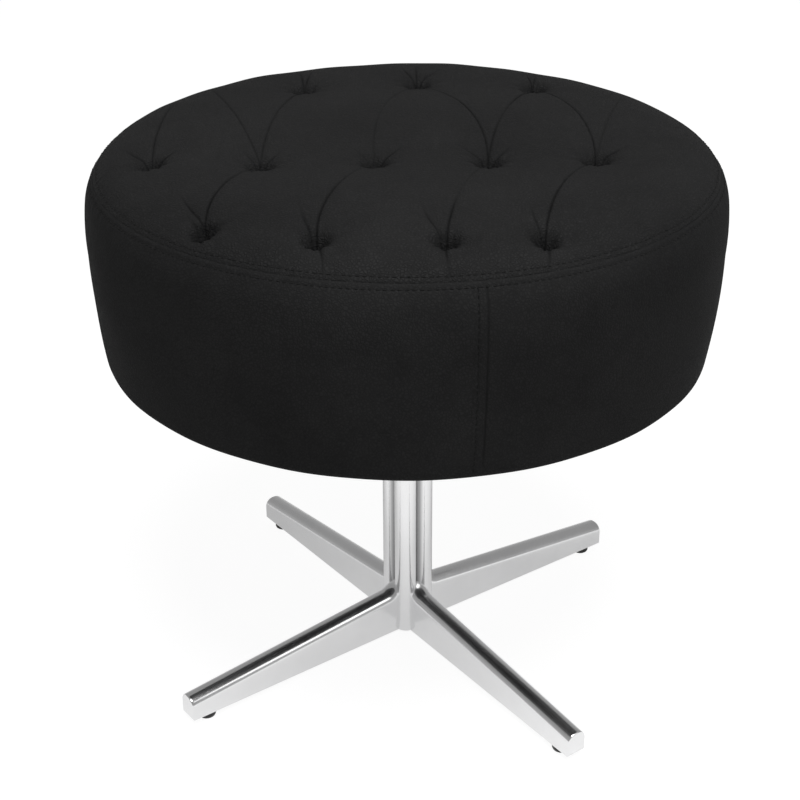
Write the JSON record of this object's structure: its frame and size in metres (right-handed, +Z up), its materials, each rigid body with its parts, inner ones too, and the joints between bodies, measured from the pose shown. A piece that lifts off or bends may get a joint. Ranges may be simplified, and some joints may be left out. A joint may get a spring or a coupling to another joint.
{
  "type": "swivel pouf",
  "caption": "round tufted pouf in black synthetic leather that turns on a lobed chrome column with splayed chrome legs and small glides",
  "frame": {"origin": "on the floor at the column's axis", "axes": "+Z up along the column; -Y to the front, where the side seam is; +X to the right"},
  "size_m": [0.5222, 0.522, 0.482],
  "materials": {
    "black_leather": "matt black synthetic leather with a fine grain",
    "chrome": "mirror chrome plate",
    "black_plastic": "black moulded plastic",
    "nylon": "natural nylon",
    "steel": "turned steel",
    "brass": "pressed brass",
    "black_steel": "black painted steel",
    "plywood": "raw plywood",
    "timber": "sawn pine",
    "foam": "open-cell upholstery foam",
    "black_cloth": "black non-woven lining",
    "twine": "waxed upholstery twine"
  },
  "bodies": {
    "base": {"column_tube": "chrome", "leg_1": "chrome", "leg_2": "chrome", "leg_3": "chrome", "leg_4": "chrome", "foot_blocks": "nylon", "glide_1": "black_plastic", "glide_2": "black_plastic", "glide_3": "black_plastic", "glide_4": "black_plastic", "bearing_tube": "steel", "column_plug": "black_plastic", "lower_bush": "nylon", "upper_bush": "nylon", "bearing_lower_race": "steel", "bearing_balls": "steel", "bearing_cage": "brass"},
    "seat": {"bearing_upper_race": "steel", "spindle": "steel", "spindle_washer": "steel", "spindle_clip": "steel", "spindle_hub": "black_steel", "mounting_plate": "black_steel", "plate_bolts": "steel", "plate_washers": "steel", "plate_nuts": "steel", "base_board": "plywood", "frame_posts": "timber", "side_hoop": "plywood", "top_board": "plywood", "frame_screws": "steel", "side_foam": "foam", "top_foam": "foam", "side_band": "black_leather", "top_cover": "black_leather", "dust_cover": "black_cloth", "staples": "steel", "tuft_buttons": "black_leather", "tuft_twines": "twine", "twine_anchors": "nylon"}
  },
  "joints": [
    {"name": "seat_swivel", "type": "hinge", "parent": "base", "child": "seat", "pos_m": [0, 0, 0.2], "axis": [0, 0, 1], "continuous": true}
  ]
}
